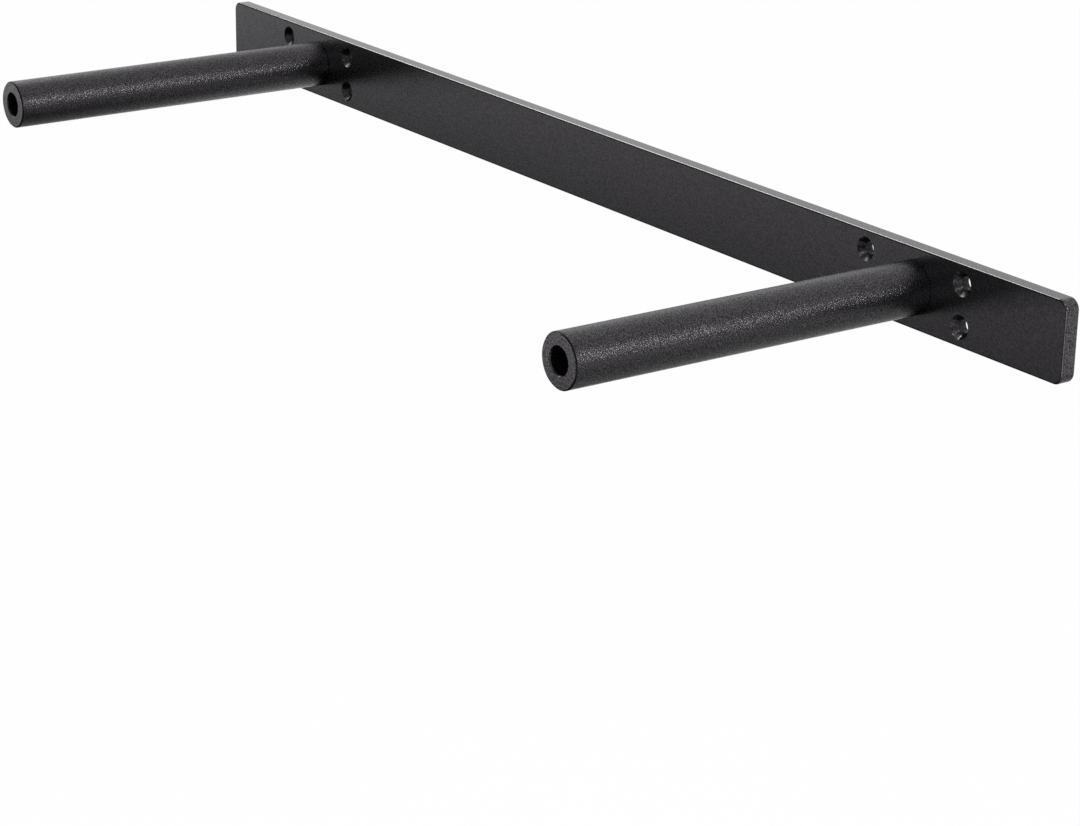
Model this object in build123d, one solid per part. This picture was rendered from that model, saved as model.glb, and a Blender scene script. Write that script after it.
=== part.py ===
from build123d import *
import os

# Floating shelf bracket
#
# A flat steel bar is screwed to the wall. Two heavy-wall tubes stand out of it and slide into
# bores in the back of a shelf. The root of each tube is turned down to a spigot that passes
# through the bar, so that the tube's shoulder seats on the bar's front face. The spigot is welded
# from behind, in a bevel, so that nothing stands proud of the face that lies on the wall.
#
# The origin is the middle of the wall face. +X runs along the bar, +Y points into the wall and
# +Z points up. All sizes are in millimetres.

# Back plate
plate_length = 558.8
plate_height = 30.0
plate_thickness = 6.0
corner_radius = 4.0
edge_radius = 0.7

# Tubes, set a wall stud's pitch apart
tube_spacing = 406.4
tube_diameter = 20.0
tube_projection = 152.4
bore_diameter = 10.0
tip_chamfer = 0.5
bore_chamfer = 0.4
shoulder_chamfer = 0.2

# Spigots at the roots of the tubes. A setback is a depth below the wall face.
spigot_diameter = 16.0
spigot_clearance = 0.05
spigot_setback = 1.2

# Welds behind the plate
bevel_depth = 3.0
weld_setback = 0.4
weld_crown = 0.25

# Screw holes, four in a rectangle round each tube
hole_diameter = 5.0
hole_bevel = 0.5
countersink_diameter = 9.0
countersink_angle = 82.0
hole_spacing = 50.8
hole_edge_distance = 7.2

# What follows from the driving sizes
tube_radius = tube_diameter / 2
bore_radius = bore_diameter / 2
spigot_radius = spigot_diameter / 2
socket_radius = spigot_radius + spigot_clearance
bevel_radius = socket_radius + bevel_depth
hole_radius = hole_diameter / 2
hole_rise = plate_height - 2 * hole_edge_distance

# Sketches on these planes see the bracket from the front, and extrude away from the wall.
wall_face = Plane.XZ
front_face = wall_face.offset(plate_thickness)
tube_places = {"left": Pos(-tube_spacing / 2, 0, 0), "right": Pos(tube_spacing / 2, 0, 0)}
hole_corners = [
    Pos(x * hole_spacing / 2, 0, z * hole_rise / 2) for x in (-1, 1) for z in (-1, 1)
]


def plate_blank():
    """The flat bar, with rounded corners and with the rims of both faces eased."""
    outline = RectangleRounded(plate_length, plate_height, corner_radius)
    bar = extrude(wall_face * outline, plate_thickness)
    rims = bar.faces().filter_by(Axis.Y).edges()
    return fillet(rims, edge_radius)


def bevelled_hole(radius, bevel):
    """A hole through the bar, with a 45 degree bevel round its mouth in the wall face."""
    hole = extrude(wall_face * Circle(radius), plate_thickness)
    mouth = wall_face * Circle(radius + bevel)
    root = wall_face.offset(bevel) * Circle(radius)
    return hole + loft([mouth, root])


def screw_hole():
    """The hole for one screw that goes in from the front, countersunk there and eased behind."""
    sink = CounterSinkHole(
        hole_radius, countersink_diameter / 2, plate_thickness, countersink_angle
    )
    return front_face * sink + bevelled_hole(hole_radius, hole_bevel)


def back_plate():
    """The bar, with a bevelled socket for each spigot and screw holes in a rectangle round it."""
    plate = plate_blank()
    for place in tube_places.values():
        plate -= place * bevelled_hole(socket_radius, bevel_depth)
        plate -= [place * corner * screw_hole() for corner in hole_corners]
    return plate


def turned(*outline):
    """A ring turned about the tube's axis, from an outline of (radius, distance to the wall)."""
    return revolve(make_face(Polyline(*outline, close=True)), Axis.Y)


def tube():
    """A tube with its spigot at the wall end, a shoulder, and an open, chamfered tip."""
    root = -spigot_setback
    shoulder = -plate_thickness
    tip = shoulder - tube_projection
    return turned(
        (bore_radius, root),
        (spigot_radius, root),
        (spigot_radius, shoulder),
        (tube_radius - shoulder_chamfer, shoulder),
        (tube_radius, shoulder - shoulder_chamfer),
        (tube_radius, tip + tip_chamfer),
        (tube_radius - tip_chamfer, tip),
        (bore_radius + bore_chamfer, tip),
        (bore_radius, tip + bore_chamfer),
    )


def weld():
    """The ring of weld that fills the bevel from the spigot to the plate, with a low crown."""
    heel = (spigot_radius, -spigot_setback)
    toe = (bevel_radius - weld_setback, -weld_setback)
    sides = Polyline(heel, (spigot_radius, -bevel_depth), (socket_radius, -bevel_depth), toe)
    crown = SagittaArc(heel, toe, weld_crown)
    return revolve(make_face([*sides.edges(), crown]), Axis.Y)


pieces = {"back_plate": back_plate()}
for side, place in tube_places.items():
    pieces[side + "_tube"] = place * tube()
    pieces[side + "_weld"] = place * weld()

os.makedirs("parts", exist_ok=True)
for name, piece in pieces.items():
    export_step(piece, "parts/" + name + ".step")
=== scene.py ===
from math import pi, radians

import bpy
from mathutils import Matrix, Vector


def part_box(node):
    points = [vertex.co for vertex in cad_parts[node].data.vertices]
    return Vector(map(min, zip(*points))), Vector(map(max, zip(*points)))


# Floating shelf bracket, in a satin black coat, in the white room of its photograph.
#
# Sizes are in metres, and angles in degrees. X runs along the plate, and Y points into the wall.

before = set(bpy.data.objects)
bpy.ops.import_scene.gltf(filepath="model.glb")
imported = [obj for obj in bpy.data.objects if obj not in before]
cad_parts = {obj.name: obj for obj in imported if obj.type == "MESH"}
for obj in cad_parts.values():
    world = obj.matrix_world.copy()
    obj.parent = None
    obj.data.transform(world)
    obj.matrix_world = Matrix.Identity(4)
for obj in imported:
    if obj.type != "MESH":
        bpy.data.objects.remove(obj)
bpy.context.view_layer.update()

MM = 0.001

# The plate's far corner, and the right tube's axis and radius
PLATE_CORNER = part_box("back_plate")[1]
TUBE_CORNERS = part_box("right_tube")
TUBE_AXIS = (TUBE_CORNERS[0].x + TUBE_CORNERS[1].x) / 2
TUBE_RADIUS = TUBE_CORNERS[1].z

# The bands round the plate's outline and round a tube's tip that hold their edges
EDGE_BAND = 4 * MM
TIP_BAND = 1 * MM

# The plate's finishes change at these cosines of the angle between its normal and the Y axis. They
# run from the foot of a rim, at a big face, to a cut edge.
# A dark line of shade is painted on the long rims between the next cosine and RIM_MIDDLE.
RIM_FOOT = 0.995
RIM = 0.97
# In the holes, below the next cosine, shade is painted.
HOLE = 0.85
RIM_MIDDLE = 0.72
CUT_EDGE = 0.4

# The X of the plate's normal is under this on its long sides, and over it on its ends and corners.
LONG_SIDE = 0.3

# The Y of a tube's normal is under the first of these on its chamfers, and under both on its tip.
CHAMFER = -0.3
TIP = -0.9

# The camera stands at the photograph's viewing angle and distance.
CAMERA_PLACE = (0.9523, -0.6948, 0.3111)
CAMERA_AZIMUTH = 54.755
CAMERA_PITCH = -19.653
CAMERA_ROLL = 0.968
CAMERA_LENS_MM = 99.73

# The white of the room as the camera and reflections see it, and as it lights matt surfaces
WHITE = 1.0
ROOM_LIGHT = 0.95

# The floor lies this far below the middle of the bracket. A share of it glows for the camera.
FLOOR_DEPTH = 0.30
FLOOR_HALF_SIZE = 12.0
FLOOR_SHADE = 0.85
FLOOR_GLOW = 0.93

# Cards that lie this far over the floor: a name, a shade of grey and two opposite corners
CARD_HEIGHT = 0.02
LEVEL_CARDS = (
    ("floor_card", 0.005, (-1.3, -0.6), (0.3, -0.06)),
    ("left_shade", 0.4, (-0.7, -0.06), (-0.1, 0.1)),
    ("middle_shade", 0.12, (-0.1, -0.06), (0.1, 0.1)),
    ("right_shade", 0.4, (0.1, -0.06), (0.7, 0.1)),
    ("left_grey", 0.95, (-0.7, 0.1), (-0.1, 0.5)),
    ("right_grey", 0.5, (-0.1, 0.1), (0.7, 0.5)),
    ("camera_card", 0.45, (0.3, -1.4), (0.945, -0.62)),
    ("far_card", 0.5, (0.945, -1.4), (1.6, -0.62)),
)

# The coat's black and its gloss lean to violet. The lamps lean to green, so that their highlights
# on it are grey.
COAT_TINT = (1.03, 1.0, 1.06)
GLOSS_TINT = (0.98, 0.9, 1.0, 1)
LAMP_COLOUR = (0.95, 1.0, 0.95)


def add_to_scene(thing):
    bpy.context.scene.collection.objects.link(thing)


def camera():
    data = bpy.data.cameras.new("camera")
    data.lens = CAMERA_LENS_MM
    eye = bpy.data.objects.new("camera", data)
    turn = Matrix.Rotation(radians(CAMERA_AZIMUTH), 4, "Z")
    pitch = Matrix.Rotation(radians(90 + CAMERA_PITCH), 4, "X")
    roll = Matrix.Rotation(radians(CAMERA_ROLL), 4, "Z")
    eye.matrix_world = Matrix.Translation(CAMERA_PLACE) @ turn @ pitch @ roll
    add_to_scene(eye)
    bpy.context.scene.camera = eye


def softbox(name, direction, distance, size, radiance, lights_matt=True):
    """A softbox that faces the bracket from an azimuth and an elevation.

    It is as bright as a white of that strength. One that doesn't light matt surfaces only shows in
    reflections.
    """
    azimuth, elevation = direction
    width, height = size
    data = bpy.data.lights.new(name, "AREA")
    data.shape = "RECTANGLE"
    data.size = width
    data.size_y = height
    data.energy = radiance * pi * width * height
    data.color = LAMP_COLOUR
    lamp = bpy.data.objects.new(name, data)
    turn = Matrix.Rotation(radians(azimuth), 4, "Z") @ Matrix.Rotation(radians(-elevation), 4, "Y")
    place = turn @ Vector((distance, 0, 0))
    facing = (-place).to_track_quat("-Z", "Y")
    lamp.matrix_world = Matrix.Translation(place) @ facing.to_matrix().to_4x4()
    lamp.visible_camera = False
    lamp.visible_diffuse = lights_matt
    add_to_scene(lamp)


def flat_sheet(name, corners, material):
    """A flat sheet of the stage, from its corners."""
    mesh = bpy.data.meshes.new(name)
    mesh.from_pydata(corners, [], [tuple(range(len(corners)))])
    mesh.materials.append(material)
    sheet = bpy.data.objects.new(name, mesh)
    add_to_scene(sheet)
    return sheet


class Tree:
    """A material's or a world's nodes, made and linked in one go."""

    def __init__(self, owner):
        owner.use_nodes = True
        self.nodes = owner.node_tree.nodes
        self.links = owner.node_tree.links
        self.nodes.clear()

    def add(self, kind, inputs=None, **settings):
        """Add a node. An input takes a value, or another node's output."""
        made = self.nodes.new("ShaderNode" + kind)
        for key, value in settings.items():
            setattr(made, key, value)
        for socket, value in (inputs or {}).items():
            if isinstance(value, bpy.types.NodeSocket):
                self.links.new(value, made.inputs[socket])
            else:
                made.inputs[socket].default_value = value
        return made

    def math(self, operation, *values):
        inputs = dict(enumerate(values))
        return self.add("Math", inputs, operation=operation).outputs[0]

    def between(self, height, span, pair):
        """From the pair's first value in the grain's pits to its second one on the peaks."""
        limits = dict(zip(("From Min", "From Max", "To Min", "To Max"), (*span, *pair)))
        return self.add("MapRange", {"Value": height, **limits}).outputs["Result"]

    def parts(self, vector):
        return self.add("SeparateXYZ", {0: vector}).outputs

    def seen(self):
        """One for what the camera sees, directly, in a reflection or through glass, and else zero."""
        rays = self.add("LightPath").outputs
        reflected = self.math("MAXIMUM", rays["Is Glossy Ray"], rays["Is Transmission Ray"])
        return self.math("MAXIMUM", rays["Is Camera Ray"], reflected)


def white_floor():
    """A pale floor that looks white, and that keeps a soft shadow."""
    material = bpy.data.materials.new("floor")
    tree = Tree(material)
    matt = tree.add("BsdfDiffuse", {"Color": (FLOOR_SHADE, FLOOR_SHADE, FLOOR_SHADE, 1)})
    glow = tree.add("Emission", {"Strength": WHITE})
    share = tree.math("MULTIPLY", tree.seen(), FLOOR_GLOW)
    both = tree.add("MixShader", {"Fac": share, 1: matt.outputs[0], 2: glow.outputs[0]})
    tree.add("OutputMaterial", {"Surface": both.outputs[0]})
    far = FLOOR_HALF_SIZE
    flat_sheet("floor", level_corners((-far, -far), (far, far), -FLOOR_DEPTH), material)


def white_room():
    world = bpy.data.worlds.new("room")
    bpy.context.scene.world = world
    tree = Tree(world)
    extra = tree.math("MULTIPLY", tree.seen(), WHITE - ROOM_LIGHT)
    strength = tree.math("ADD", extra, ROOM_LIGHT)
    white = tree.add("Background", {"Color": (1, 1, 1, 1), "Strength": strength})
    tree.add("OutputWorld", {"Surface": white.outputs[0]})


def level_corners(near, far, z):
    """The corners of a level sheet, from two opposite ones and its height."""
    (x0, y0), (x1, y1) = near, far
    return [(x0, y0, z), (x1, y0, z), (x1, y1, z), (x0, y1, z)]


def upright_corners(left, right, heights):
    """The corners of an upright sheet, from the two ends of its foot and its two heights."""
    (x0, y0), (x1, y1), (low, high) = left, right, heights
    return [(x0, y0, low), (x1, y1, low), (x1, y1, high), (x0, y0, high)]


def card(name, shade, corners):
    """A dark or grey card. The camera doesn't see it, but the bracket reflects it."""
    material = bpy.data.materials.new(name)
    tree = Tree(material)
    matt = tree.add("BsdfDiffuse", {"Color": (shade, shade, shade, 1)})
    tree.add("OutputMaterial", {"Surface": matt.outputs[0]})
    sheet = flat_sheet(name, corners, material)
    sheet.visible_camera = False
    sheet.visible_diffuse = False
    sheet.visible_shadow = False


def tinted(shade):
    """The coat's black, at a given brightness."""
    return (*(part * shade for part in COAT_TINT), 1)


class Finish:
    """How the coat looks on one kind of face, at times with painted shade: its grain's width and depth,
    and pairs.

    Each pair is for the grain's pits and its peaks. The span is the part of the noise between them.
    """

    def __init__(self, grain, depth, roughness, gloss, shade, span=(0.38, 0.62)):
        self.grain = grain
        self.depth = depth
        self.roughness = roughness
        self.gloss = gloss
        self.shade = shade
        self.span = span

    def shader(self, tree, place):
        noise = tree.add("TexNoise", {"Vector": place, "Scale": 1 / self.grain, "Detail": 2.0})
        height = noise.outputs["Fac"]
        bump = tree.add("Bump", {"Height": height, "Distance": self.depth})
        pits, peaks = (tinted(shade) for shade in self.shade)
        share = tree.between(height, self.span, (0, 1))
        colour = tree.add("MixRGB", {"Fac": share, "Color1": pits, "Color2": peaks})
        coat = tree.add(
            "BsdfPrincipled",
            {
                "Base Color": colour.outputs["Color"],
                "Roughness": tree.between(height, self.span, self.roughness),
                "Specular IOR Level": tree.between(height, self.span, self.gloss),
                "Specular Tint": GLOSS_TINT,
                "Normal": bump.outputs["Normal"],
            },
        )
        return coat.outputs[0]


# The plate's big faces, the tubes and the welds
FLAT = Finish(0.8 * MM, 0.02 * MM, roughness=(0.28, 0.24), gloss=(0.57, 0.73), shade=(0.002, 0.004))
PEBBLED = Finish(
    0.4 * MM, 0.13 * MM, roughness=(0.3, 0.13), gloss=(0.22, 1.15), shade=(0.001, 0.004), span=(0.45, 0.64)
)
RIPPLED = Finish(1.2 * MM, 0.4 * MM, roughness=(0.4, 0.25), gloss=(0.2, 0.6), shade=(0.002, 0.004))

# Holes with painted shade, eased rims, cut edges with the tubes' tips, and edges with a painted dark line
# of shade
# A darker coat with less gloss, which paints shade in the holes and on the bores' chamfers
HOLLOW_PAINTED_SHADE = Finish(0.6 * MM, 0.01 * MM, roughness=(0.34, 0.26), gloss=(0.12, 0.4), shade=(0.001, 0.003))
SMOOTH = Finish(0.6 * MM, 0.01 * MM, roughness=(0.2, 0.14), gloss=(0.5, 0.8), shade=(0.002, 0.004))
SAWN = Finish(0.5 * MM, 0.03 * MM, roughness=(0.16, 0.08), gloss=(0.15, 1.3), shade=(0.001, 0.008))
# A coat with little gloss, which paints dark lines of shade on edges
DULL_PAINTED_SHADE = Finish(0.6 * MM, 0.01 * MM, roughness=(0.4, 0.3), gloss=(0.05, 0.15), shade=(0.001, 0.003))


def coated(name, main, *others):
    """A coat with its main finish, and with others on the faces that their masks find."""
    material = bpy.data.materials.new(name)
    tree = Tree(material)
    spot = tree.add("TexCoord").outputs
    place = spot["Object"]
    surface = main.shader(tree, place)
    for finish, mask in others:
        share = mask(tree, place, spot["Normal"])
        mix = tree.add("MixShader", {"Fac": share, 1: surface, 2: finish.shader(tree, place)})
        surface = mix.outputs[0]
    tree.add("OutputMaterial", {"Surface": surface})
    return material


def turned_from_y(tree, normal, limit):
    """One where the face's normal is further from the Y axis than a limit on its cosine."""
    return tree.math("LESS_THAN", tree.math("ABSOLUTE", tree.parts(normal)[1]), limit)


def in_edge_band(tree, place):
    """One in a band all round the plate's outline, which leaves its holes out."""
    x, _, z = (tree.math("ABSOLUTE", part) for part in tree.parts(place))
    high = tree.math("GREATER_THAN", z, PLATE_CORNER.z - EDGE_BAND)
    far = tree.math("GREATER_THAN", x, PLATE_CORNER.x - EDGE_BAND)
    return tree.math("MAXIMUM", high, far)


def off_the_faces(tree, place, normal):
    """One where the plate turns away from its two big faces: in the holes and round the rims. Shade is
    painted in the holes.
    """
    return turned_from_y(tree, normal, HOLE)


def on_rims(tree, place, normal):
    """One on the eased rims and the cut edges all round the plate."""
    return tree.math("MULTIPLY", in_edge_band(tree, place), turned_from_y(tree, normal, RIM))


def low_on_long_rims(tree, place, normal):
    """One where the rims of the plate's two long sides run out into its big faces, where a dark line of
    shade is painted.
    """
    eased = turned_from_y(tree, normal, RIM_FOOT)
    low = tree.math("SUBTRACT", eased, turned_from_y(tree, normal, RIM_MIDDLE))
    long_side = tree.math("LESS_THAN", tree.math("ABSOLUTE", tree.parts(normal)[0]), LONG_SIDE)
    return tree.math("MULTIPLY", in_edge_band(tree, place), tree.math("MULTIPLY", low, long_side))


def on_cut_edges(tree, place, normal):
    """One on the cut edges all round the plate, and zero on its rims."""
    return tree.math("MULTIPLY", in_edge_band(tree, place), turned_from_y(tree, normal, CUT_EDGE))


def off_the_walls(tree, place, normal):
    """One on the tube's chamfers and tip, and zero on its outside and in its bore. Shade is painted on the
    bore's chamfer with it.
    """
    return tree.math("LESS_THAN", tree.parts(normal)[1], CHAMFER)


def on_tube_rim(tree, place, normal):
    """One on the outer chamfer at the tube's tip, which stands further out than the bore's. A dark ring of
    shade is painted there.
    """
    x, _, z = tree.parts(place)
    aside = tree.math("SUBTRACT", tree.math("ABSOLUTE", x), TUBE_AXIS)
    away = tree.math("SQRT", tree.math("ADD", tree.math("POWER", aside, 2), tree.math("POWER", z, 2)))
    outer = tree.math("GREATER_THAN", away, TUBE_RADIUS - TIP_BAND)
    return tree.math("MULTIPLY", outer, off_the_walls(tree, place, normal))


def on_tube_tip(tree, place, normal):
    """One on the tip's flat face, and zero elsewhere."""
    return tree.math("LESS_THAN", tree.parts(normal)[1], TIP)


bpy.context.scene.view_settings.view_transform = "Standard"
camera()
white_floor()
white_room()
softbox("side_light", (20, 18), 2.9, (0.4, 0.65), 26)
softbox("high_light", (186, 43), 3.0, (1.7, 1.35), 10, lights_matt=False)
softbox("eye_light", (-54, 40), 1.5, (0.3, 0.5), 6)
softbox("low_light", (-37, -13.5), 0.8, (0.25, 0.35), 4, lights_matt=False)
for name, shade, near, far in LEVEL_CARDS:
    card(name, shade, level_corners(near, far, CARD_HEIGHT - FLOOR_DEPTH))
card("front_card", 0.55, upright_corners((-4.5, -1.6), (0.5, -1.6), (-0.28, 1.9)))

plate_coat = coated(
    "plate_coat",
    FLAT,
    # Shade is painted in the holes.
    (HOLLOW_PAINTED_SHADE, off_the_faces),
    (SMOOTH, on_rims),
    # A dark line of shade is painted where the long rims meet the big faces.
    (DULL_PAINTED_SHADE, low_on_long_rims),
    (SAWN, on_cut_edges),
)
tube_coat = coated(
    "tube_coat",
    PEBBLED,
    # Shade is painted on the bore's chamfer.
    (HOLLOW_PAINTED_SHADE, off_the_walls),
    # A dark ring of shade is painted on the outer chamfer of the tip.
    (DULL_PAINTED_SHADE, on_tube_rim),
    (SAWN, on_tube_tip),
)
weld_coat = coated("weld_coat", RIPPLED)
coats = {"plate": plate_coat, "tube": tube_coat, "weld": weld_coat}
for name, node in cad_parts.items():
    node.data.materials.clear()
    node.data.materials.append(coats[name.split("_")[-1]])
